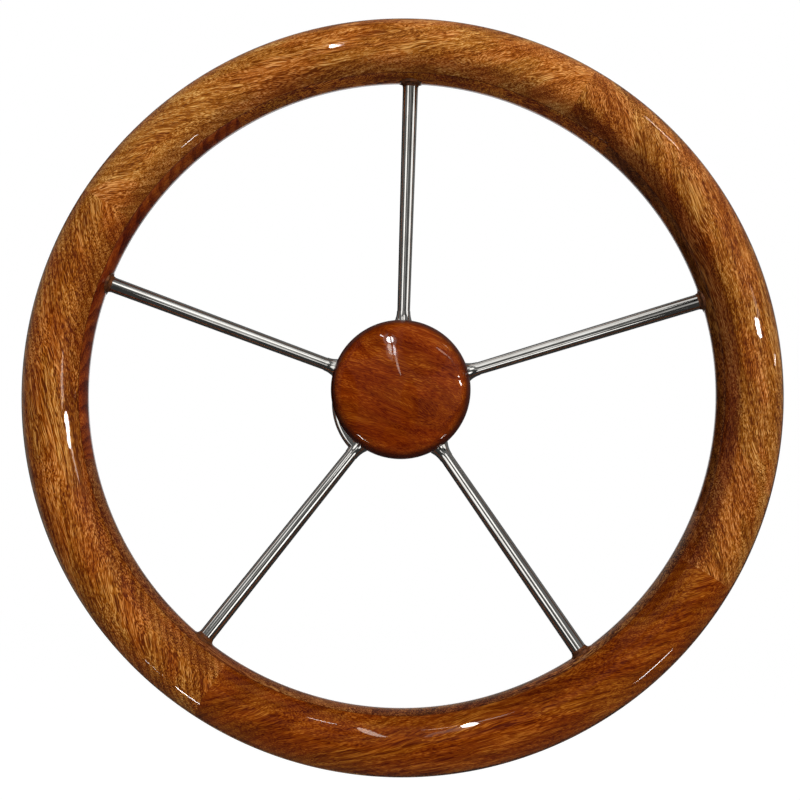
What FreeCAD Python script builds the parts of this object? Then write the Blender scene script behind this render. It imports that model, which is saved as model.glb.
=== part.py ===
import FreeCAD, Part
import math
import os

# Boat steering wheel with five spokes.
# A varnished hardwood rim is glued up in three layers. The core has a segment
# for each of the five tapered stainless spokes, slid onto the spoke's end, and
# front and back layers of four segments each close it. The spokes are welded
# to a turned stainless hub with a standard tapered bore. A domed wooden cap
# pushes into the front of the hub and pulls off for the shaft nut.
#
# Frame: the wheel turns about the Y axis. The origin is the centre of the
# bore's large end, on the hub's back face. The front, which the steersman
# sees, looks along -Y. +Z is up, with the first spoke upright.
# Sizes are in millimetres and angles in degrees.

V = FreeCAD.Vector
ORIGIN = V(0, 0, 0)
AXIS = V(0, 1, 0)

# Rim
rim_outer_diameter = 400.0
grip_diameter = 34.2
face_layer_thickness = 8.55
face_layer_segments = 4
front_joint_angle = 60.0
back_joint_angle = 24.0
core_joint_offset = 33.0

# Spokes
spoke_count = 5
first_spoke_angle = 90.0
spoke_hub_diameter = 6.9
spoke_rim_diameter = 8.3
spoke_embed = 15.0
spoke_tenon_diameter = 5.2
spoke_tenon_length = 4.6
tenon_clearance = 0.05
glue_gap = 0.1
dish = 20.0

# Glue collars where the spokes enter the rim
collar_spread = 2.6
collar_height = 1.9
collar_toe = 0.15

# Hub
hub_length = 44.0
flange_diameter = 74.0
flange_thickness = 13.0
flange_edge_round = 2.0
flange_front_chamfer = 0.8
spoke_setback = 6.5
boss_diameter = 38.0
boss_chamfer = 1.5
boss_root_radius = 11.0
taper_large_diameter = 19.05
taper_ratio = 12.0
taper_length = 25.4
keyway_width = 4.76
keyway_depth = 2.4
nut_recess_diameter = 34.0
cap_recess_diameter = 58.0
cap_recess_depth = 10.0

# Welds at the spoke roots, one of them built up along the hub
weld_spread = 2.1
weld_length = 7.0
weld_toe = 0.2
swell_spoke = 4
swell_height = 5.2
swell_middle_height = 2.9
swell_sweep = 52.0
swell_thickness = 8.0
swell_edge_round = 2.5

# Cap
cap_diameter = 75.0
cap_height = 15.0
crown_radius = 150.0
cap_edge_radius = 8.5
cap_back_chamfer = 0.6

# Spigot that holds the cap in the hub, with its seal ring and screws
spigot_clearance = 0.3
spigot_length = 9.0
spigot_wall = 4.7
spigot_plate = 3.0
spigot_window_diameter = 22.0
seal_section = 2.4
seal_clearance = 0.1
seal_groove_width = 3.0
screw_count = 3
screw_circle_diameter = 36.0
screw_diameter = 3.5
screw_head_diameter = 7.0
screw_grip = 9.0
screw_slot_width = 0.9
screw_slot_depth = 1.0
pilot_gap = 0.05

# Places that follow from the sizes
rim_radius = (rim_outer_diameter - grip_diameter) / 2
grip_radius = grip_diameter / 2
flange_radius = flange_diameter / 2
hub_front_y = -hub_length
spoke_plane_y = hub_front_y + spoke_setback
rim_plane_y = spoke_plane_y - dish
flange_back_y = hub_front_y + flange_thickness
recess_floor_y = hub_front_y + cap_recess_depth
taper_large_radius = taper_large_diameter / 2
taper_small_radius = taper_large_radius - taper_length / taper_ratio / 2
past = 1.0


def outward(angle):
    """The unit vector that points away from the axis at an angle."""
    turn = math.radians(angle)
    return V(math.cos(turn), 0, math.sin(turn))


def at(angle, radius, y):
    """The point at an angle and a radius round the axis."""
    return outward(angle) * radius + V(0, y, 0)


def turned(edges, start, axis):
    """The solid turned from a closed half profile."""
    face = Part.Face(Part.Wire(edges))
    return face.revolve(start, axis, 360)


def line(*points):
    """A chain of straight edges."""
    return [Part.makeLine(a, b) for a, b in zip(points, points[1:])]


def profile(radius, y):
    """A point of a half profile that is turned about the wheel's axis."""
    return V(radius, y, 0)


def round_edge(radius, y, size, start, end):
    """An arc of a half profile about a centre, between two angles from +X toward +Y."""
    def on_arc(angle):
        turn = math.radians(angle)
        return profile(radius + size * math.cos(turn), y + size * math.sin(turn))

    return Part.Arc(on_arc(start), on_arc((start + end) / 2), on_arc(end)).toShape()


def export(name, shape):
    os.makedirs("parts", exist_ok=True)
    shape.exportStep("parts/" + name + ".step")
    volume = shape.Volume / 1000
    print(name, "solids", len(shape.Solids), "valid", shape.isValid(), "cm3", round(volume, 2))


# Spokes: round tapered bars, thicker at the rim. Each runs from the middle of
# the flange's side to the middle of the grip, so it leans forward by the dish.
spoke_angles = [first_spoke_angle - 360.0 / spoke_count * i for i in range(spoke_count)]
spoke_run = rim_radius - flange_radius
spoke_slant = math.hypot(spoke_run, dish)
taper_per_mm = (spoke_rim_diameter - spoke_hub_diameter) / 2 / (spoke_slant - grip_radius)


def spoke_direction(angle):
    return (outward(angle) * spoke_run - AXIS * dish) / spoke_slant


def spoke_root(angle):
    return at(angle, flange_radius, spoke_plane_y)


def spoke_radius(distance):
    """The bar's radius at a distance from the root along the spoke."""
    return spoke_hub_diameter / 2 + taper_per_mm * distance


def tapered_bar(angle, start, end, extra):
    """A stretch of the bar, thickened all round by extra."""
    base = spoke_root(angle) + spoke_direction(angle) * start
    r_start = spoke_radius(start) + extra
    r_end = spoke_radius(end) + extra
    return Part.makeCone(r_start, r_end, end - start, base, spoke_direction(angle))


def tenon(angle, length, extra):
    """The turned-down end that goes into the flange, from a little outside it."""
    base = spoke_root(angle) + spoke_direction(angle) * past
    radius = spoke_tenon_diameter / 2 + extra
    return Part.makeCylinder(radius, length + past, base, -spoke_direction(angle))


spoke_end = spoke_slant - grip_radius + spoke_embed
flange_disc = Part.makeCylinder(flange_radius, flange_thickness, V(0, hub_front_y, 0), AXIS)


def make_spoke(angle):
    bar = tapered_bar(angle, -spoke_hub_diameter / 2, spoke_end, 0)
    bar = bar.cut(flange_disc)
    return bar.fuse(tenon(angle, spoke_tenon_length, 0)).removeSplitter()


spokes = [make_spoke(angle) for angle in spoke_angles]


# Rim: a round grip, cut by two glue planes into a front layer, a core and a
# back layer. Each layer is a ring of segments that butt end to end, and the
# layers' joints are staggered. The spokes end in the core.
layer_edge = math.degrees(math.asin((grip_radius - face_layer_thickness) / grip_radius))
front_arcs = [(layer_edge - 180, -layer_edge)]
core_arcs = [(-layer_edge, layer_edge), (180 - layer_edge, 180 + layer_edge)]
back_arcs = [(layer_edge, 180 - layer_edge)]
core_joint_angle = first_spoke_angle + core_joint_offset


def on_grip(angle, turn):
    """A point of the grip's section, at a turn from the rim's outer side toward the back."""
    lean = math.radians(turn)
    reach = outward(angle) * (grip_radius * math.cos(lean)) + AXIS * (grip_radius * math.sin(lean))
    return at(angle, rim_radius, rim_plane_y) + reach


def layer_section(angle, arcs):
    """A layer's section: arcs of the grip, each joined to the next by a glue plane."""
    edges = []
    for i, (start, end) in enumerate(arcs):
        after = arcs[(i + 1) % len(arcs)][0]
        ends = [on_grip(angle, turn) for turn in (start, (start + end) / 2, end)]
        edges.append(Part.Arc(*ends).toShape())
        edges.append(Part.makeLine(ends[2], on_grip(angle, after)))
    return Part.Face(Part.Wire(edges))


def rim_segment(start_angle, sweep, arcs):
    segment = layer_section(start_angle, arcs).revolve(ORIGIN, -AXIS, sweep)
    hole_start = spoke_slant - grip_radius - collar_spread
    for angle in spoke_angles:
        hole = tapered_bar(angle, hole_start, spoke_end + glue_gap, glue_gap)
        segment = segment.cut(hole)
    return segment


rim_layers = (
    ("front", front_arcs, face_layer_segments, front_joint_angle),
    ("core", core_arcs, spoke_count, core_joint_angle),
    ("back", back_arcs, face_layer_segments, back_joint_angle),
)
for layer, arcs, count, joint_angle in rim_layers:
    sweep = 360.0 / count
    for i in range(count):
        start_angle = joint_angle - sweep * (i + 1)
        export("rim_" + layer + "_" + str(i + 1), rim_segment(start_angle, sweep, arcs))

for i, spoke in enumerate(spokes):
    export("spoke_" + str(i + 1), spoke)


# Glue collars: small coved fillets of set glue and varnish round each spoke.
# Their holes in the wood are wider than the bar, and the collar closes them.
rim_solid = Part.makeTorus(rim_radius, grip_radius, V(0, rim_plane_y, 0), AXIS)


def coved_ring(angle, surface, outward_side, spread, height, toe):
    """A fillet of concave section round a spoke, at a distance along it.

    Its cove starts level with the bar, at height from the surface, and is
    spread past the bar at the surface. It goes on below, to be cut off there."""
    along = spoke_direction(angle)
    across = AXIS.cross(outward(angle))
    start = spoke_root(angle) + along * surface
    foot_radius = spoke_radius(surface) + spread
    tip_radius = spoke_radius(surface + height * outward_side) + toe
    drop = foot_radius - tip_radius
    cove = (height ** 2 + drop ** 2) / drop / 2
    half_turn = math.atan2(height, cove - drop) / 2

    def place(step, radius):
        return start + along * (step * outward_side) + across * radius

    foot = place(0, foot_radius)
    middle = place(height - cove * math.sin(half_turn), tip_radius + cove * (1 - math.cos(half_turn)))
    tip = place(height, tip_radius)
    edges = [Part.Arc(foot, middle, tip).toShape()]
    edges += line(tip, place(height, 0), place(-spread, 0), place(-spread, foot_radius), foot)
    return turned(edges, start, along)


collars = []
for angle, spoke in zip(spoke_angles, spokes):
    entry = spoke_slant - grip_radius
    collar = coved_ring(angle, entry, -1, collar_spread, collar_height, collar_toe)
    collars.append(collar.cut(rim_solid).cut(spoke))
export("spoke_collars", Part.Compound(collars))


# Hub: turned from stainless bar. A boss at the back holds the tapered bore,
# and a cupped flange in front carries the spokes, the nut and the cap.
def hub_blank():
    boss = boss_diameter / 2
    root_y = flange_back_y + boss_root_radius
    root_foot = profile(boss + boss_root_radius, flange_back_y)
    edge_x = flange_radius - flange_edge_round
    edge_y = flange_back_y - flange_edge_round
    front_corner = profile(flange_radius, hub_front_y + flange_front_chamfer)
    front_edge = profile(flange_radius - flange_front_chamfer, hub_front_y)
    back_corner = profile(boss, -boss_chamfer)
    edges = line(ORIGIN, profile(boss - boss_chamfer, 0), back_corner, profile(boss, root_y))
    edges.append(round_edge(root_foot.x, root_y, boss_root_radius, 180, 270))
    edges += line(root_foot, profile(edge_x, flange_back_y))
    edges.append(round_edge(edge_x, edge_y, flange_edge_round, 90, 0))
    edges += line(profile(flange_radius, edge_y), front_corner, front_edge, profile(0, hub_front_y), ORIGIN)
    return turned(edges, ORIGIN, AXIS)


def taper_cutter():
    run = taper_length + past
    slope = 1 / taper_ratio / 2
    r_large = taper_large_radius + past * slope
    r_small = taper_large_radius - run * slope
    return Part.makeCone(r_large, r_small, run + past, V(0, past, 0), -AXIS)


def keyway_cutter():
    """The key's slot, cut parallel to the taper on the side of the first spoke."""
    slope = 1 / taper_ratio / 2
    top = taper_large_radius + keyway_depth
    side = keyway_width / 2
    corners = [
        V(-side, past, 0),
        V(-side, past, top + past * slope),
        V(-side, -taper_length - past, top - (taper_length + past) * slope),
        V(-side, -taper_length - past, 0),
        V(-side, past, 0),
    ]
    return Part.Face(Part.makePolygon(corners)).extrude(V(keyway_width, 0, 0))


def recess(diameter, depth):
    """A round recess sunk into the hub's front face."""
    return Part.makeCylinder(diameter / 2, depth + past, V(0, hub_front_y - past, 0), AXIS)


blank = hub_blank()
hub = blank.cut(recess(cap_recess_diameter, cap_recess_depth))
hub = hub.cut(recess(nut_recess_diameter, hub_length - taper_length))
hub = hub.cut(taper_cutter()).cut(keyway_cutter())
for angle in spoke_angles:
    hub = hub.cut(tenon(angle, spoke_tenon_length + tenon_clearance, tenon_clearance))
hub = hub.removeSplitter()
export("hub_body", hub)


# Welds: polished coved beads round the spoke roots
def weld_swell():
    """Weld metal built up along the hub beside one spoke."""
    end_angle = spoke_angles[swell_spoke - 1]
    start_angle = end_angle - swell_sweep
    back_y = spoke_plane_y + swell_thickness / 2
    core_radius = cap_recess_diameter / 2
    start = at(start_angle, flange_radius, back_y)
    middle = at(end_angle - swell_sweep / 2, flange_radius + swell_middle_height, back_y)
    end = at(end_angle, flange_radius + swell_height, back_y)
    edges = [Part.Arc(start, middle, end).toShape()]
    edges += line(end, at(end_angle, core_radius, back_y), at(start_angle, core_radius, back_y), start)
    prism = Part.Face(Part.Wire(edges)).extrude(V(0, -swell_thickness, 0))
    crest = [edge for edge in prism.Edges if isinstance(edge.Curve, Part.Circle)]
    return prism.makeFillet(swell_edge_round, crest)


welds = []
for number, angle in enumerate(spoke_angles, 1):
    weld = coved_ring(angle, 0, 1, weld_spread, weld_length, weld_toe)
    if number == swell_spoke:
        weld = weld.fuse(weld_swell())
    welds.append(weld.cut(blank).cut(spokes[number - 1]).removeSplitter())
export("spoke_welds", Part.Compound(welds))


# Cap: a domed hardwood disc, turned with a wide rounded edge
def make_cap():
    radius = cap_diameter / 2
    apex = profile(0, hub_front_y - cap_height)
    crown_y = apex.y + crown_radius
    edge_x = radius - cap_edge_radius
    lean = math.degrees(math.asin(edge_x / (crown_radius - cap_edge_radius)))
    edge_y = crown_y - (crown_radius - cap_edge_radius) * math.cos(math.radians(lean))
    back = profile(0, hub_front_y)
    chamfer_in = profile(radius - cap_back_chamfer, hub_front_y)
    chamfer_out = profile(radius, hub_front_y - cap_back_chamfer)
    edges = line(back, chamfer_in, chamfer_out, profile(radius, edge_y))
    edges.append(round_edge(edge_x, edge_y, cap_edge_radius, 0, lean - 90))
    edges.append(round_edge(0, crown_y, crown_radius, lean - 90, -90))
    edges += line(apex, back)
    return turned(edges, ORIGIN, AXIS)


# Screws: countersunk, driven forward through the spigot's plate into the cap
screw_angles = [first_spoke_angle + 360.0 / screw_count * (i + 0.5) for i in range(screw_count)]
plate_back_y = hub_front_y + spigot_plate
head_height = (screw_head_diameter - screw_diameter) / 2


def screw_body(angle, extra):
    """A screw's outline, thickened all round by extra."""
    head_at = at(angle, screw_circle_diameter / 2, plate_back_y)
    r_head = screw_head_diameter / 2 + extra
    r_shank = screw_diameter / 2 + extra
    head = Part.makeCone(r_head, r_shank, head_height, head_at, -AXIS)
    length = spigot_plate + screw_grip + extra
    return head.fuse(Part.makeCylinder(r_shank, length, head_at, -AXIS)).removeSplitter()


def make_screw(angle):
    screw = screw_body(angle, 0)
    centre = at(angle, screw_circle_diameter / 2, plate_back_y)
    slot = screw_slot_width
    span = screw_head_diameter
    for width, height in ((slot, span), (span, slot)):
        corner = centre - V(width / 2, screw_slot_depth, height / 2)
        screw = screw.cut(Part.makeBox(width, screw_slot_depth + past, height, corner))
    return screw


# Spigot: a turned plastic cup with a groove for the seal ring round its skirt
def make_spigot():
    radius = cap_recess_diameter / 2 - spigot_clearance
    bore = radius - spigot_wall
    seal_radius = cap_recess_diameter / 2 - seal_clearance - seal_section / 2
    seal_y = hub_front_y + (spigot_plate + spigot_length) / 2
    body = Part.makeCylinder(radius, spigot_length, V(0, hub_front_y, 0), AXIS)
    body = body.cut(Part.makeCylinder(bore, spigot_length, V(0, plate_back_y, 0), AXIS))
    window = spigot_window_diameter / 2
    body = body.cut(Part.makeCylinder(window, spigot_plate, V(0, hub_front_y, 0), AXIS))
    groove_floor = seal_radius - seal_section / 2
    groove_base = V(0, seal_y - seal_groove_width / 2, 0)
    groove = Part.makeCylinder(radius + past, seal_groove_width, groove_base, AXIS)
    groove = groove.cut(Part.makeCylinder(groove_floor, seal_groove_width, groove_base, AXIS))
    body = body.cut(groove)
    for angle in screw_angles:
        body = body.cut(screw_body(angle, pilot_gap))
    seal = Part.makeTorus(seal_radius, seal_section / 2, V(0, seal_y, 0), AXIS)
    return body, seal


cap = make_cap()
for angle in screw_angles:
    cap = cap.cut(screw_body(angle, pilot_gap))
spigot, seal_ring = make_spigot()
export("hub_cap", cap)
export("cap_spigot", spigot)
export("cap_seal_ring", seal_ring)
export("cap_screws", Part.Compound([make_screw(angle) for angle in screw_angles]))
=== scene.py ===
import math

import bmesh
import bpy
from mathutils import Matrix, Vector, noise


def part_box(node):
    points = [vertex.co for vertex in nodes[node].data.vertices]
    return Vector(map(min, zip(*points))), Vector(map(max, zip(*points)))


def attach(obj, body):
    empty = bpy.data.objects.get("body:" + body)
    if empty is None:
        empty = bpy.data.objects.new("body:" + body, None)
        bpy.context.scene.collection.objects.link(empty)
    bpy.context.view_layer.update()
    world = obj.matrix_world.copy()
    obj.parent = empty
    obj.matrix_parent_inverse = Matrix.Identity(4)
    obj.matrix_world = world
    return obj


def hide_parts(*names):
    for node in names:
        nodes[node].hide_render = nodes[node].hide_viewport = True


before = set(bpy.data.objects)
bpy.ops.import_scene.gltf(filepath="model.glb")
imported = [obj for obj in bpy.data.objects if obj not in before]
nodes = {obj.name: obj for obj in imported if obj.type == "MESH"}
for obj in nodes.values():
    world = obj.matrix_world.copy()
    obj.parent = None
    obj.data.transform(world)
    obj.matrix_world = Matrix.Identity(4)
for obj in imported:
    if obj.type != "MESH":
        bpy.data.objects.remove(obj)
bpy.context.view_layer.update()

# Rim: three layers of interlocked-grain hardwood, glued on two planes across the round grip. The core
# has a segment for each spoke, and the front and back layers have four each, with staggered joints.
# Each segment is sawn from a straight plank, so its grain follows its own middle tangent.
rim_radius = 0.1829
grip_radius = 0.0171
rim_y = -0.0575
face_layer_thickness = 0.00855
glue_depth = grip_radius - face_layer_thickness
points_round_grip = 96
glue_line_width = 0.00022
ripple_size = 0.009
ripple_height = 0.009
curved_face_match = 0.97
merge_distance = 1e-6


def deselect_all():
    if bpy.context.object and bpy.context.object.mode != "OBJECT":
        bpy.ops.object.mode_set(mode="OBJECT")
    bpy.ops.object.select_all(action="DESELECT")


def edit_select(piece, chosen):
    """Selects, in edit mode, the vertices that the test chooses, and nothing else."""
    bpy.ops.mesh.select_mode(type="VERT")
    bpy.ops.mesh.select_all(action="DESELECT")
    mesh = bmesh.from_edit_mesh(piece.data)
    for vertex in mesh.verts:
        vertex.select = chosen(vertex.co)
    mesh.select_flush(True)
    bmesh.update_edit_mesh(piece.data)


def close_and_face_out():
    """Closes the open ends of a spun piece and turns its faces outward."""
    bpy.ops.mesh.select_all(action="SELECT")
    bpy.ops.mesh.remove_doubles(threshold=merge_distance)
    bpy.ops.mesh.fill_holes(sides=0)
    bpy.ops.mesh.select_all(action="SELECT")
    bpy.ops.mesh.normals_make_consistent(inside=False)
    bpy.ops.object.mode_set(mode="OBJECT")


def layer_segment(name, front, back, sweep):
    """A layer's segment between two depths from the grip's middle.

    It is spun a degree at a time, from +X toward +Z by sweep degrees."""
    deselect_all()
    bpy.ops.mesh.primitive_circle_add(
        vertices=points_round_grip, radius=grip_radius, location=(rim_radius, rim_y, 0))
    segment = bpy.context.object
    segment.name = name
    bpy.ops.object.transform_apply(location=True, rotation=True, scale=True)
    bpy.ops.object.mode_set(mode="EDIT")
    low, high = front - merge_distance, back + merge_distance
    edit_select(segment, lambda place: not low < place.y - rim_y < high)
    bpy.ops.mesh.delete(type="VERT")
    for depth in (front, back):
        if abs(depth) < grip_radius:
            edit_select(segment, lambda place: abs(place.y - rim_y - depth) < merge_distance)
            bpy.ops.mesh.edge_face_add()
    bpy.ops.mesh.select_all(action="SELECT")
    bpy.ops.mesh.spin(steps=round(sweep), angle=math.radians(sweep), center=(0, 0, 0), axis=(0, 1, 0))
    close_and_face_out()
    return segment


def turned_copy(pattern, name, angle):
    """A copy with its own mesh, turned round the wheel's axis from +X toward +Z."""
    piece = pattern.copy()
    piece.data = pattern.data.copy()
    piece.name = name
    bpy.context.collection.objects.link(piece)
    deselect_all()
    piece.rotation_euler = (0, -math.radians(angle), 0)
    piece.select_set(True)
    bpy.context.view_layer.objects.active = piece
    bpy.ops.object.transform_apply(location=True, rotation=True, scale=True)
    return piece


def grip_normal(place):
    """The normal of the round grip at a place on it."""
    centre = Vector((place.x, 0, place.z)).normalized() * rim_radius + Vector((0, rim_y, 0))
    return (place - centre).normalized()


def brush_the_varnish(piece, true_normal, height):
    """Gives the curved faces their true form's normals, with the faint ripples of brushed varnish."""
    mesh = piece.data
    normals = []
    for face in mesh.polygons:
        face.use_smooth = True
        for corner in face.loop_indices:
            place = mesh.vertices[mesh.loops[corner].vertex_index].co
            normal = true_normal(place)
            rippled = (normal + noise.noise_vector(place / ripple_size) * height).normalized()
            curved = normal.dot(face.normal) > curved_face_match
            normals.append(rippled if curved else face.normal.copy())
    mesh.normals_split_custom_set(normals)


class Shade:
    """A socket of a material's nodes. Python's operators on it add Math nodes."""

    def __init__(self, tree, socket=None):
        self.tree = tree
        self.socket = socket

    def add(self, kind, settings=None, sockets=None, output=0):
        """A node of the given type, with its settings and then the values or links of its sockets."""
        made = self.tree.nodes.new(kind)
        for key, value in (settings or {}).items():
            if key == "stops":
                ramp = made.color_ramp.elements
                while len(ramp) < len(value):
                    ramp.new(0.5)
                for stop, (place, colour) in zip(ramp, value):
                    stop.position = place
                    stop.color = colour
            else:
                setattr(made, key, value)
        for key, value in (sockets or {}).items():
            if isinstance(value, Shade):
                self.tree.links.new(value.socket, made.inputs[key])
            else:
                made.inputs[key].default_value = value
        return Shade(self.tree, made.outputs[output])

    def math(self, operation, *values):
        return self.add("ShaderNodeMath", {"operation": operation}, dict(enumerate(values)))

    def __add__(self, other):
        return self.math("ADD", self, other)

    def __radd__(self, other):
        return self.math("ADD", other, self)

    def __sub__(self, other):
        return self.math("SUBTRACT", self, other)

    def __rsub__(self, other):
        return self.math("SUBTRACT", other, self)

    def __mul__(self, other):
        return self.math("MULTIPLY", self, other)

    def __rmul__(self, other):
        return self.math("MULTIPLY", other, self)

    def __truediv__(self, other):
        return self.math("DIVIDE", self, other)

    def __pow__(self, other):
        return self.math("POWER", self, other)

    def part(self, axis):
        """A vector's part along one of its axes."""
        return self.add("ShaderNodeSeparateXYZ", {}, {"Vector": self}, axis)

    def within(self, low, high, bottom=0.0, top=1.0):
        """Eases from bottom to top as the value goes from low to high."""
        sockets = {0: self, 1: low, 2: high, 3: bottom, 4: top}
        return self.add("ShaderNodeMapRange", {"interpolation_type": "SMOOTHSTEP"}, sockets)

    def mix(self, factor, first, second, blend="MIX"):
        """Mixes two colours, which are the Mix node's inputs 6 and 7, with the result at output 2."""
        sockets = {0: factor, 6: first, 7: second}
        return self.add("ShaderNodeMix", {"data_type": "RGBA", "blend_type": blend}, sockets, 2)

    def noise(self, place, detail=2.0, roughness=0.5):
        sockets = {"Vector": place, "Scale": 1.0, "Detail": detail, "Roughness": roughness}
        return self.add("ShaderNodeTexNoise", {"noise_dimensions": "3D"}, sockets)

    def stretch(self, place, size, shift=(0, 0, 0), turn=(0, 0, 0)):
        """The place in units of size along each axis, after a turn and a shift in those units."""
        scale = tuple(1 / length for length in size)
        turned = self.add("ShaderNodeMapping", {}, {"Vector": place, "Rotation": turn})
        return self.add("ShaderNodeMapping", {}, {"Vector": turned, "Location": shift, "Scale": scale})


def tint(red, green, blue):
    """A colour as a screen shows it, from 0 to 255, as the linear values that a shader takes."""
    shares = [channel / 255 for channel in (red, green, blue)]
    linear = [((share + 0.055) / 1.055) ** 2.4 if share > 0.04 else share / 12.92 for share in shares]
    return (*linear, 1.0)


def new_material(name):
    material = bpy.data.materials.new(name)
    material.use_nodes = True
    material.node_tree.nodes.clear()
    return material, Shade(material.node_tree)


def finish_material(shade, surface):
    output = shade.tree.nodes.new("ShaderNodeOutputMaterial")
    shade.tree.links.new(surface.socket, output.inputs["Surface"])


def hardwood(name, along, seed, tones, heart, figure, lean=8, rings=0.1, painted_inner_shade=0.0, edge=None):
    """Interlocked-grain hardwood under clear varnish.

    along is the grain's direction round the wheel's axis, in degrees from +X toward +Z. tones are
    the colours from the darkest to the flecks. heart is where the tree's middle lies, in mm: behind
    the rim's plane, and across the grain from the axis. figure is how lively the grain is, lean how
    far, in degrees, its fibres run off the plank's length, and rings how dark the year rings are.
    The argument after rings is painted shade: how strongly the wood is darkened on the rim's inner
    side. edge is a turned disc's radius, and the rim, which has none, shows its glue lines. Sizes of
    the figure are in mm: along the grain, through the plank and across it."""
    material, ink = new_material(name)
    place = ink.add("ShaderNodeTexCoord", output="Object")

    # The plank's own frame: x along the grain, y toward the wheel's back and z across the grain. Each
    # seed takes another stretch of the log, and slow noise bends the fibres in it.
    log_step = 37.0
    millimetre = (0.001, 0.001, 0.001)
    plank = ink.stretch(place, millimetre, (seed * log_step, 0, 0), (0, math.radians(along), 0))
    wander = ink.noise(ink.stretch(plank, (90, 30, 30), (0, seed, 0)), 1.0) - 0.5
    waves = ink.noise(ink.stretch(plank, (18, 8, 8), (seed, 0, 0)), 2.0) - 0.5
    bend = {"Y": wander * 16 + waves * 2, "Z": wander * 12 + waves * 2.5}
    drift = ink.add("ShaderNodeCombineXYZ", {}, bend)
    grain = ink.add("ShaderNodeVectorMath", {"operation": "ADD"}, {0: plank, 1: drift})

    # Year rings, each darker toward its late wood
    ring_spacing = 3.2
    heart_depth, heart_across = heart
    depth = grain.part("Y") - rim_y * 1000 - heart_depth
    across = grain.part("Z") - heart_across
    ring_phase = ink.math("FRACT", (depth * depth + across * across) ** 0.5 / ring_spacing)
    late_wood = ring_phase.within(0.3, 0.85) * ring_phase.within(1.0, 0.92)

    # Fine figure: long streaks, strokes and specks of light fibre that lean to one side and the other
    # in turn, from ribbon to ribbon, dark pores, and a broad mottle.
    tilt = (0, math.radians(lean), 0)
    back_tilt = (0, math.radians(-2 * lean), 0)
    streaks = ink.noise(ink.stretch(grain, (45, 1.1, 1.1), (0, 0, seed)), 3.0, 0.65) - 0.5
    strokes = ink.noise(ink.stretch(grain, (13, 0.32, 0.32), (0, 0, seed), tilt), 0.0).within(0.44, 0.60)
    specks = ink.noise(ink.stretch(grain, (3, 0.32, 0.32), (5, 0, seed), back_tilt)).within(0.46, 0.59)
    ribbons = ink.noise(ink.stretch(grain, (120, 9, 9), (2, seed, 0)), 1.0).within(0.40, 0.60)
    mottle = ink.noise(ink.stretch(grain, (34, 8, 8), (seed, 3, 0)), 2.0).within(0.34, 0.66)
    pores = ink.noise(ink.stretch(grain, (10, 0.36, 0.36), (seed, 0, 9)), 0.0).within(0.55, 0.66)
    fibre = strokes * (0.35 + ribbons) + specks * (1.2 - ribbons) - 0.5
    middle_tone = 0.48
    lively = 0.8 * streaks + 0.47 * fibre + 0.08 * (ribbons - 0.5) - 0.28 * pores
    tone = middle_tone + figure * lively + 0.19 * (mottle - 0.5) - rings * late_wood

    # The tone's colour, between a yellower and a redder varnish
    yellower = (1.0, 0.985, 0.78, 1)
    redder = (1.03, 0.86, 0.68, 1)
    warmth = ink.noise(ink.stretch(grain, (50, 11, 11), (seed, 1, 4)), 2.0).within(0.42, 0.58)
    colour = ink.add("ShaderNodeValToRGB", {"stops": list(zip(tone_steps, tones))}, {0: tone})
    colour = ink.mix(1.0, colour, ink.mix(warmth, yellower, redder), "MULTIPLY")
    level_place = ink.add("ShaderNodeVectorMath", {"operation": "MULTIPLY"}, {0: place, 1: (1, 0, 1)})
    from_axis = ink.add("ShaderNodeVectorMath", {"operation": "LENGTH"}, {0: level_place}, "Value")
    if edge:
        # Painted shade and painted dark reflection: a dark ring on the disc's rounded edge.
        painted_ring_start = edge - 0.0045
        painted_ring_full = edge - 0.0012
        painted_ring_strength = 0.85
        painted_edge_ring = from_axis.within(painted_ring_start, painted_ring_full) * painted_ring_strength
        colour = ink.mix(painted_edge_ring, colour, tint(54, 17, 8))
    else:
        # Painted shade on the rim's inner side, with an edge that wanders, and the two glue lines.
        painted_shade_start = painted_shade_radius + painted_shade_blur
        painted_shade_full = painted_shade_radius - painted_shade_blur
        painted_shade_edge = from_axis + painted_shade_wander * wander
        painted_shade_mask = painted_shade_edge.within(painted_shade_start, painted_shade_full)
        colour = ink.mix(painted_shade_mask * painted_inner_shade, colour, painted_shade_filter, "MULTIPLY")
        glue_strength = 0.75
        from_middle = ink.math("ABSOLUTE", place.part("Y") - rim_y)
        from_glue = ink.math("ABSOLUTE", from_middle - glue_depth)
        glue = from_glue.within(glue_line_width, glue_line_width / 2) * glue_strength
        colour = ink.mix(glue, colour, tint(46, 18, 8))

    bump = ink.add("ShaderNodeBump", {}, {"Strength": 0.2, "Distance": 0.00006, "Height": fibre - pores})
    surface = ink.add("ShaderNodeBsdfPrincipled", {}, {
        "Base Color": colour,
        "Roughness": 0.45 + 0.1 * pores,
        "Normal": bump,
        "Specular IOR Level": 0.03,
        "Coat Weight": 1.0,
        "Coat Roughness": 0.018,
        "Coat IOR": 1.33,
    })
    finish_material(ink, surface)
    return material


def dress(piece, material):
    piece.data.materials.clear()
    piece.data.materials.append(material)


# The holes that the spokes come through are cut in the core's segments before these are varnished.
# Each spoke is a straight tapered bar from the flange's side to near the middle of the grip.
spoke_count = 5
first_spoke_angle = 90
flange_radius = 0.037
spoke_plane_y = -0.0375
spoke_embed = 0.015
glue_gap = 0.0001
hole_overrun = 0.003
points_round_hole = 48
spoke_root_radius = 0.00345
spoke_rim_radius = 0.00415
spoke_run = rim_radius - flange_radius
spoke_drop = rim_y - spoke_plane_y
spoke_slant = math.hypot(spoke_run, spoke_drop)
spoke_entry = spoke_slant - grip_radius
spoke_lean = math.atan2(spoke_drop, spoke_run)


def spoke_bar_radius(distance):
    return spoke_root_radius + (spoke_rim_radius - spoke_root_radius) * distance / spoke_entry


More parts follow.
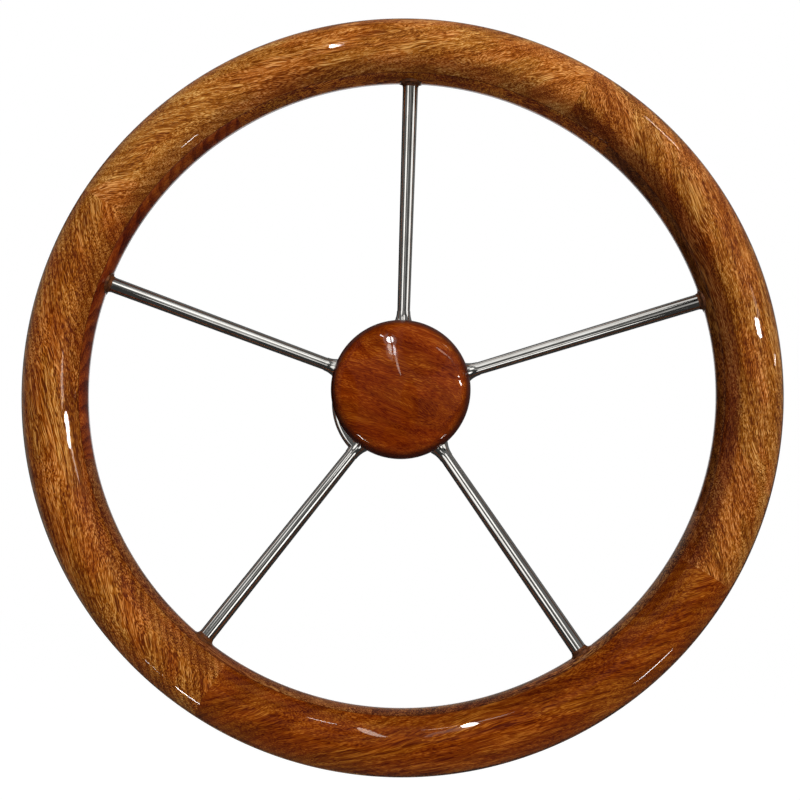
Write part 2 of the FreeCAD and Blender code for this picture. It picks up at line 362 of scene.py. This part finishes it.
def spoke_hole(name, start, end):
    """A spoke's bar at angle 0, wider by the glue's gap, between two distances from its root."""
    deselect_all()
    bpy.ops.mesh.primitive_cone_add(
        vertices=points_round_hole, radius1=spoke_bar_radius(start) + glue_gap,
        radius2=spoke_bar_radius(end) + glue_gap, depth=end - start, location=(0, 0, (start + end) / 2))
    hole = bpy.context.object
    hole.name = name
    bpy.ops.object.transform_apply(location=True, rotation=True, scale=True)
    to_spoke = Matrix.Rotation(spoke_lean, 4, "Z") @ Matrix.Rotation(math.radians(90), 4, "Y")
    hole.matrix_world = Matrix.Translation((flange_radius, spoke_plane_y, 0)) @ to_spoke
    bpy.ops.object.transform_apply(location=True, rotation=True, scale=True)
    return hole


spoke_angles = [first_spoke_angle - 360 / spoke_count * i for i in range(spoke_count)]
hole_pattern = spoke_hole("hole", spoke_entry - hole_overrun, spoke_entry + spoke_embed + glue_gap)
hole_cutters = []
for i, angle in enumerate(spoke_angles):
    hole_cutters.append(turned_copy(hole_pattern, "hole_" + str(i + 1), angle))

# The thirteen planks, in six ranges of tones. A row gives a plank's tones, its heart, how lively its
# figure is and how far its fibres lean, and then, where they matter, its rings and the strength of the
# painted shade on its inner side.
tone_steps = (0.18, 0.42, 0.62, 0.86)
golden = (tint(90, 40, 9), tint(143, 78, 20), tint(170, 105, 38), tint(214, 160, 96))
honey = (tint(107, 52, 13), tint(160, 93, 31), tint(187, 121, 54), tint(226, 176, 112))
amber = (tint(90, 36, 6), tint(147, 77, 16), tint(176, 105, 34), tint(214, 156, 88))
russet = (tint(78, 24, 3), tint(121, 54, 6), tint(147, 78, 15), tint(196, 126, 48))
umber = (tint(50, 18, 4), tint(92, 42, 12), tint(122, 66, 26), tint(168, 110, 56))
wine = (tint(72, 20, 4), tint(126, 50, 8), tint(150, 72, 18), tint(190, 112, 46))
# Painted shade on the rim's inner side: the radius where it begins, how soft and how far its edge wavers,
# and the colour it multiplies the wood by.
painted_shade_radius = 0.1745
painted_shade_blur = 0.002
painted_shade_wander = 0.005
painted_shade_filter = (0.48, 0.33, 0.30, 1)
planks = {
    "front": [
        (golden, (38, 176), 0.8, 8, 0.14, 0.9),
        (russet, (24, 188), 0.48, 4, 0.12, 0.3),
        (amber, (-30, 178), 0.78, 3, 0.2, 0.35),
        (honey, (60, 184), 0.72, -6, 0.14, 0.5),
    ],
    "core": [
        (russet, (-40, 180), 1.1, 12, 0.15),
        (umber, (30, 178), 0.7, 3, 0.12),
        (umber, (-28, 186), 0.8, -4, 0.12),
        (golden, (52, 176), 1.1, 9, 0.1, 0.8),
        (wine, (20, 182), 0.4, 2, 0.2),
    ],
    "back": [
        (golden, (50, 180), 0.9, 5),
        (russet, (-45, 186), 0.7, -5),
        (amber, (40, 180), 0.8, 4),
        (golden, (-50, 178), 1.0, -7),
    ],
}

# A layer's row gives its front and back, counted from the grip's middle, its first joint and seed.
front_joint_angle = 60
core_joint_past_spoke = 33
core_joint_angle = first_spoke_angle + core_joint_past_spoke
back_joint_angle = 24
layers = [
    ("front", -grip_radius, -glue_depth, front_joint_angle, 1),
    ("core", -glue_depth, glue_depth, core_joint_angle, 21),
    ("back", glue_depth, grip_radius, back_joint_angle, 6),
]
for layer, front, back, joint_angle, first_seed in layers:
    sweep = 360 / len(planks[layer])
    pattern = layer_segment("pattern", front, back, sweep)
    for i, plank in enumerate(planks[layer]):
        start = joint_angle - sweep * (i + 1)
        number = str(i + 1)
        segment = turned_copy(pattern, layer + "_segment_" + number, start)
        if layer == "core":
            cut = segment.modifiers.new("spoke_hole", "BOOLEAN")
            cut.operation = "DIFFERENCE"
            cut.solver = "EXACT"
            cut.object = hole_cutters[i]
            bpy.ops.object.modifier_apply(modifier=cut.name)
        brush_the_varnish(segment, grip_normal, ripple_height)
        middle_tangent = start + sweep / 2 + 90
        wood = hardwood("hardwood_" + layer + "_" + number, middle_tangent, first_seed + i, *plank)
        dress(segment, wood)
        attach(segment, "wheel")
        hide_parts("rim_" + layer + "_" + number)
    bpy.data.objects.remove(pattern)
for cutter in hole_cutters:
    bpy.data.objects.remove(cutter)
bpy.data.objects.remove(hole_pattern)

# Spokes, hub and welds: polished stainless steel. The bars are ground tapered and the hub is turned.
# The bars stand in drilled sockets, and their weld beads are ground and polished into both.
grinding_marks = (0.08, 0.0007, 0.0007)
turning_marks = (0.004, 0.0003, 0.004)


def polished_steel(name, marks_size, marks_turn=(0, 0, 0), roughness=0.05):
    """Steel with the fine marks of its polishing, in metres along each axis, and a faint haze."""
    material, ink = new_material(name)
    place = ink.add("ShaderNodeTexCoord", output="Object")
    marks = ink.noise(ink.stretch(place, marks_size, (0, 0, 0), marks_turn), 3.0)
    haze = ink.noise(ink.stretch(place, (0.012, 0.012, 0.012)), 2.0)
    bump = ink.add("ShaderNodeBump", {}, {"Strength": 0.06, "Distance": 0.00001, "Height": marks})
    surface = ink.add("ShaderNodeBsdfPrincipled", {}, {
        "Base Color": ink.mix(haze.within(0.35, 0.7), tint(222, 222, 218), tint(206, 205, 200)),
        "Metallic": 1.0,
        "Roughness": roughness + 0.04 * haze.within(0.45, 0.75) + 0.03 * marks.within(0.5, 0.8),
        "Normal": bump,
    })
    finish_material(ink, surface)
    return material


for i, angle in enumerate(spoke_angles):
    number = str(i + 1)
    steel = polished_steel("spoke_steel_" + number, grinding_marks, (0, math.radians(angle), 0))
    dress(nodes["spoke_" + number], steel)
turned_steel = polished_steel("turned_steel", turning_marks, roughness=0.1)
dress(nodes["hub_body"], turned_steel)
dress(nodes["spoke_welds"], turned_steel)


# Collars: five small coved rings of dark, set glue and varnish. The glue was pressed out when the
# spokes went into their holes in the rim, and it was drawn up round each bar and varnished over.
def set_glue():
    material, ink = new_material("set_glue")
    place = ink.add("ShaderNodeTexCoord", output="Object")
    lumps = ink.noise(ink.stretch(place, (0.0016, 0.0016, 0.0016)), 3.0)
    bump = ink.add("ShaderNodeBump", {}, {"Strength": 0.3, "Distance": 0.0001, "Height": lumps})
    surface = ink.add("ShaderNodeBsdfPrincipled", {}, {
        "Base Color": ink.mix(lumps.within(0.35, 0.7), tint(66, 32, 10), tint(104, 56, 18)),
        "Roughness": 0.35 + 0.2 * lumps,
        "Normal": bump,
        "Specular IOR Level": 0.3,
    })
    finish_material(ink, surface)
    return material


dress(nodes["spoke_collars"], set_glue())

# Cap: a domed disc of the same hardwood, turned with a wide rounded edge and varnished. It keeps
# the turned disc's form, and its curved faces take their normals from the crown and the edge.
cap_grain_angle = 158
cap_seed = 11
cap_heart = (70, 20)
cap_reds = (tint(80, 19, 0), tint(114, 42, 1), tint(136, 60, 7), tint(176, 102, 32))
cap_ripple_height = ripple_height / 2
crown_radius = 0.150
cap_edge_radius = 0.0085
cap_low, cap_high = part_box("hub_cap")
crown_middle = Vector((0, cap_low[1] + crown_radius, 0))
edge_ring_radius = cap_high[0] - cap_edge_radius
crown_reach = math.asin(edge_ring_radius / (crown_radius - cap_edge_radius))
edge_ring_y = crown_middle.y - (crown_radius - cap_edge_radius) * math.cos(crown_reach)

deselect_all()
cap = bpy.data.objects.new("cap_disc", nodes["hub_cap"].data.copy())
bpy.context.collection.objects.link(cap)
cap.select_set(True)
bpy.context.view_layer.objects.active = cap
bpy.ops.object.mode_set(mode="EDIT")
bpy.ops.mesh.select_all(action="SELECT")
bpy.ops.mesh.remove_doubles(threshold=merge_distance)
bpy.ops.object.mode_set(mode="OBJECT")


def turned_normal(place):
    """The normal of the crown or of the rounded edge at a place on the cap's face."""
    outward = Vector((place.x, 0, place.z))
    if math.atan2(outward.length, crown_middle.y - place.y) < crown_reach:
        return (place - crown_middle).normalized()
    centre = outward.normalized() * edge_ring_radius + Vector((0, max(edge_ring_y, place.y), 0))
    return (place - centre).normalized()


brush_the_varnish(cap, turned_normal, cap_ripple_height)
cap_wood = hardwood("cap_hardwood", cap_grain_angle, cap_seed, cap_reds, cap_heart,
                    figure=0.4, lean=6, edge=cap_high[0])
dress(cap, cap_wood)
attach(cap, "cap")
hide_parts("hub_cap")

# Spigot, seal ring and screws: what holds the cap in the hub, seen when it is pulled off. The spigot
# is a turned cup of dark plastic with a rubber ring in the groove round its skirt, and three
# countersunk steel screws hold it to the cap from behind.
screw_marks = (0.001, 0.001, 0.001)


def spigot_plastic():
    material, ink = new_material("spigot_plastic")
    place = ink.add("ShaderNodeTexCoord", output="Object")
    grain = ink.noise(ink.stretch(place, (0.0006, 0.0006, 0.0006)), 2.0)
    bump = ink.add("ShaderNodeBump", {}, {"Strength": 0.2, "Distance": 0.00005, "Height": grain})
    surface = ink.add("ShaderNodeBsdfPrincipled", {}, {
        "Base Color": ink.mix(grain.within(0.3, 0.7), tint(34, 34, 35), tint(46, 46, 47)),
        "Roughness": 0.38 + 0.15 * grain,
        "Normal": bump,
    })
    finish_material(ink, surface)
    return material


def seal_rubber():
    material, ink = new_material("seal_rubber")
    place = ink.add("ShaderNodeTexCoord", output="Object")
    bloom = ink.noise(ink.stretch(place, (0.002, 0.002, 0.002)), 3.0)
    surface = ink.add("ShaderNodeBsdfPrincipled", {}, {
        "Base Color": ink.mix(bloom.within(0.4, 0.7), tint(24, 24, 25), tint(40, 40, 41)),
        "Roughness": 0.55 + 0.2 * bloom,
    })
    finish_material(ink, surface)
    return material


dress(nodes["cap_spigot"], spigot_plastic())
dress(nodes["cap_seal_ring"], seal_rubber())
dress(nodes["cap_screws"], polished_steel("screw_steel", screw_marks, roughness=0.22))

# Studio: a pale floor far below, as a helm's wheel stands above its deck, and white all round. The
# room in front is dark to the varnish, as in the photograph, with a few lamps.
ambient = 0.05
world = bpy.data.worlds.new("studio_white")
bpy.context.scene.world = world
world.use_nodes = True
world.node_tree.nodes.clear()
sky = Shade(world.node_tree)
seen = sky.add("ShaderNodeLightPath", output="Is Camera Ray")
for ray in ("Is Glossy Ray", "Is Transmission Ray"):
    seen = sky.math("MAXIMUM", seen, sky.add("ShaderNodeLightPath", output=ray))
sky_strength = ambient + (1 - ambient) * seen
backdrop = sky.add("ShaderNodeBackground", {}, {"Color": (1, 1, 1, 1), "Strength": sky_strength})
world_output = world.node_tree.nodes.new("ShaderNodeOutputWorld")
world.node_tree.links.new(backdrop.socket, world_output.inputs["Surface"])

floor_z = -0.9
floor_size = 14
floor_glow = 1.165
floor_glow_share = 0.85


def pale_floor():
    """Pale paint. The camera sees it mostly as an even glow, with a trace of the wheel's shadow."""
    material, ink = new_material("pale_floor")
    seen = ink.add("ShaderNodeLightPath", output="Is Camera Ray")
    paint = ink.add("ShaderNodeBsdfDiffuse", {}, {"Color": (0.9, 0.9, 0.9, 1)})
    glow = ink.add("ShaderNodeEmission", {}, {"Color": (1, 1, 1, 1), "Strength": floor_glow})
    finish_material(ink, ink.add("ShaderNodeMixShader", {}, {0: seen * floor_glow_share, 1: paint, 2: glow}))
    return material


deselect_all()
bpy.ops.mesh.primitive_plane_add(size=floor_size, location=(0, 0, floor_z))
floor = bpy.context.object
floor.name = "floor"
floor.data.materials.append(pale_floor())
floor.visible_glossy = False


def only_mirrored(piece):
    """A card that shows in reflections, and neither to the camera nor as light or shade."""
    piece.visible_camera = False
    piece.visible_diffuse = False
    piece.visible_shadow = False
    piece.visible_transmission = False


def glowing(name, level, tone):
    material, ink = new_material(name)
    finish_material(ink, ink.add("ShaderNodeEmission", {}, {"Color": (*tone, 1), "Strength": level}))
    return material


def direction(azimuth, elevation):
    """Azimuth 0 is toward the steersman and 90 is to the wheel's +X."""
    a, e = math.radians(azimuth), math.radians(elevation)
    return Vector((math.sin(a) * math.cos(e), -math.cos(a) * math.cos(e), math.sin(e)))


def dim_room():
    """The walls, lighter toward the ceiling."""
    low_light = 0.04
    high_light = 0.15
    material, ink = new_material("dim_room")
    place = ink.add("ShaderNodeTexCoord", output="Object")
    outward = ink.add("ShaderNodeVectorMath", {"operation": "NORMALIZE"}, {0: place})
    level = outward.part("Z").within(-0.35, 0.3, low_light, high_light)
    finish_material(ink, ink.add("ShaderNodeEmission", {}, {"Color": (1, 0.99, 0.98, 1), "Strength": level}))
    return material


# The room is a shell that is open straight behind the wheel.
shell_radius = 5.0
shell_opening = math.radians(5)
points_round_shell = 48
deselect_all()
bpy.ops.mesh.primitive_uv_sphere_add(
    segments=points_round_shell, ring_count=points_round_shell // 2, radius=shell_radius)
shell = bpy.context.object
shell.name = "dark_room"
bpy.ops.object.mode_set(mode="EDIT")
edit_select(shell, lambda place: place.y > shell_radius * math.cos(shell_opening))
bpy.ops.mesh.delete(type="VERT")
bpy.ops.object.mode_set(mode="OBJECT")
shell.data.materials.append(dim_room())
only_mirrored(shell)

points_round_card = 24


def oval_card(name, towards, along, wide, tall, distance, material, pieces):
    """An oval lamp or window, wide (along the given way) and tall in degrees, shown in the pieces."""
    deselect_all()
    bpy.ops.mesh.primitive_circle_add(vertices=points_round_card, radius=0.5, fill_type="NGON")
    card = bpy.context.object
    card.name = name
    size = [2 * distance * math.tan(math.radians(angle / 2)) for angle in (wide, tall)]
    turn = Matrix((along, towards.cross(along), towards)).transposed().to_4x4()
    card.matrix_world = Matrix.Translation(towards * distance) @ turn @ Matrix.Diagonal((*size, 1, 1))
    bpy.ops.object.transform_apply(location=True, rotation=True, scale=True)
    card.data.materials.append(material)
    only_mirrored(card)
    shown_in = bpy.data.collections.new(name)
    for piece in pieces:
        shown_in.objects.link(piece)
    card.light_linking.receiver_collection = shown_in


# Lamps and lit walls, which show in the varnish as streaks and sheens, each in one piece. A lamp
# reaches from one azimuth and elevation to another. Its thickness in degrees and its strength follow.
rim_right = bpy.data.objects["front_segment_1"]
rim_bottom = bpy.data.objects["front_segment_2"]
rim_left = bpy.data.objects["front_segment_3"]
rim_top = bpy.data.objects["front_segment_4"]
lamps = [
    (rim_right, (29.0, 11.3), (50.0, 13.7), 2.2, 80),
    (rim_right, (41.0, 15.0), (52.0, 12.0), 10.0, 4),
    (rim_right, (90.7, 12.0), (85.0, 10.2), 1.5, 30),
    (rim_right, (61.0, 50.3), (67.8, 44.8), 1.6, 40),
    (rim_right, (-106.6, -49.7), (-114.0, -44.4), 2.0, 6),
    (rim_left, (42.0, 11.9), (58.0, 14.2), 5.0, 80),
    (rim_left, (30.0, 3.6), (46.5, 11.5), 4.2, 11),
    (rim_left, (54.5, 15.0), (57.5, 22.0), 5.0, 14),
    (rim_left, (88.2, 8.6), (87.7, 11.3), 2.0, 25),
    (rim_left, (111.1, 8.4), (113.7, 12.3), 2.0, 16),
    (rim_left, (-53.9, -37.8), (-50.0, -51.0), 3.5, 45),
    (rim_top, (-8.0, 31.0), (-3.9, 16.5), 0.6, 90),
    (rim_top, (-8.3, 30.1), (-6.9, 28.8), 2.0, 16),
    (rim_top, (56.1, -36.8), (54.4, -41.4), 2.5, 45),
    (rim_bottom, (11.1, 47.8), (6.3, 47.6), 2.0, 30),
    (rim_bottom, (3.2, 49.3), (-1.2, 24.2), 1.5, 14),
    (rim_bottom, (-15.6, 49.5), (-10.0, 36.5), 1.8, 80),
    (rim_bottom, (-6.2, 47.9), (-13.5, 47.3), 1.1, 16),
    (rim_bottom, (-15.5, 47.0), (-18.5, 42.0), 1.1, 16),
    (rim_bottom, (-12.0, 44.0), (-3.0, 22.0), 3.0, 2.5),
    (rim_bottom, (60.5, -43.1), (67.9, -36.9), 2.5, 45),
    (cap, (-8.4, 28.8), (-6.2, 26.2), 2.9, 60),
    (cap, (-9.6, 30.0), (-5.0, 24.6), 5.4, 3.0),
    (cap, (-8.0, 25.4), (-6.2, 21.8), 1.8, 18),
    (cap, (-5.6, 25.0), (-4.0, 20.2), 1.4, 26),
    (cap, (-7.4, 21.8), (-4.8, 20.2), 1.0, 14),
    (cap, (-3.9, 20.6), (-1.2, 10.9), 0.9, 9),
    (cap, (-8.0, 26.0), (-3.6, 17.5), 5.0, 2.0),
    (cap, (-12.5, 29.6), (-10.4, 28.7), 0.6, 30),
    (cap, (30.0, 12.0), (52.0, 10.2), 5.4, 60),
    (cap, (15.2, 24.8), (20.8, 20.7), 0.8, 7),
    (cap, (20.8, 20.7), (25.9, 16.6), 0.8, 8),
    (cap, (40.0, 41.2), (53.3, 40.2), 1.5, 14),
    (cap, (-56.4, -38.2), (-47.7, -49.9), 5.0, 45),
    (cap, (66.9, -45.3), (71.9, -38.7), 3.0, 35),
]
lamp_tone = (1.0, 0.97, 0.97)
faint_lamp_tone = (1.0, 0.88, 0.76)
faint_level = 20
lamp_distance = 4.0
levels_per_metre = 200
for i, (piece, first, last, thick, level) in enumerate(lamps):
    name = "lamp_" + str(i + 1)
    glow = glowing(name, level, lamp_tone if level > faint_level else faint_lamp_tone)
    one_end, other_end = direction(*first), direction(*last)
    middle = (one_end + other_end).normalized()
    along = (other_end - one_end).normalized()
    length = math.degrees(one_end.angle(other_end))
    # A bright lamp hangs nearer, so that no fainter one hides it.
    distance = lamp_distance - level / levels_per_metre
    oval_card(name, middle, along, length, thick, distance, glow, [piece])

# Windows and walls, given by their middle's azimuth and elevation, width, height and strength. The
# windows and the bright wall show in the spokes and the hub, and the grey ones in the rim's edges.
window_distance = 4.5
spokes_and_hub = [nodes[name] for name in nodes if name.startswith(("spoke_", "hub_body"))]
windows = [
    (-31, -2, 22, 34, 1.5),
    (66, 2, 36, 36, 1.3),
    (-60, 70, 44, 44, 0.8),
    (-30, 50, 26, 26, 0.9),
    (-18, 36, 16, 16, 1.1),
    (8, -43, 16, 16, 1.6),
    (10, 24, 20, 26, 1.6),
    (38, -15, 22, 18, 1.9),
    (-20, 25, 18, 14, 1.2),
    (-3, -20, 12, 18, 1.0),
    (-41, -11, 18, 16, 1.0),
    (22, 44, 18, 18, 0.9),
    (-72, 36, 24, 18, 0.8),
    (3, -2, 8, 24, 0.5),
]


def window_card(name, azimuth, elevation, wide, tall, level, tone, pieces):
    towards = direction(azimuth, elevation)
    level_way = Vector((0, 0, 1)).cross(towards).normalized()
    oval_card(name, towards, level_way, wide, tall, window_distance, glowing(name, level, tone), pieces)


window_tone = (1.0, 0.98, 0.97)
bright_wall_tone = (0.85, 0.88, 0.72)
warm_grey = (1.0, 0.92, 0.75)
wall = (-134, 0, 62, 90)
ceiling = (-155, 24, 50, 22)
lower_core = [bpy.data.objects["core_segment_3"], bpy.data.objects["core_segment_4"]]
for i, window in enumerate(windows):
    window_card("window_" + str(i + 1), *window, window_tone, spokes_and_hub)
window_card("bright_wall", *wall, 0.9, bright_wall_tone, spokes_and_hub)
window_card("grey_wall", *wall, 0.3, warm_grey, [rim_left])
window_card("grey_ceiling", *ceiling, 0.4, warm_grey, lower_core)

# Key and fill: two round soft lamps, high in front and behind, which light the wheel at a plain level
# and aren't mirrored in it.
soft_lamp_size = 1.4
soft_lamp_distance = 2.2


def soft_lamp(name, azimuth, elevation, power):
    lamp_data = bpy.data.lights.new(name, "AREA")
    lamp_data.energy = power
    lamp_data.shape = "DISK"
    lamp_data.size = soft_lamp_size
    lamp = bpy.data.objects.new(name, lamp_data)
    bpy.context.collection.objects.link(lamp)
    lamp.location = direction(azimuth, elevation) * soft_lamp_distance
    lamp.rotation_mode = "QUATERNION"
    lamp.rotation_quaternion = lamp.location.to_track_quat("Z", "Y")
    lamp.visible_glossy = False


soft_lamp("key", azimuth=20, elevation=33, power=49)
soft_lamp("fill", azimuth=205, elevation=35, power=27)

# Camera: as fitted to the photograph, which was taken from close in front of the wheel
camera_place = Vector((0.01344, -0.64966, -0.06066))
camera_aim = Vector((0.00006, -0.0575, -0.00673))
camera_roll = math.radians(1.92)
camera_lens = 50.81
camera_data = bpy.data.cameras.new("camera")
camera_data.lens = camera_lens
camera_data.sensor_width = 36
camera = bpy.data.objects.new("camera", camera_data)
bpy.context.collection.objects.link(camera)
camera.location = camera_place
camera.rotation_mode = "QUATERNION"
look = (camera_aim - camera_place).to_track_quat("-Z", "Y")
camera.rotation_quaternion = look @ Matrix.Rotation(camera_roll, 3, "Z").to_quaternion()
bpy.context.scene.camera = camera
bpy.context.scene.view_settings.view_transform = "Standard"

bpy.context.view_layer.update()
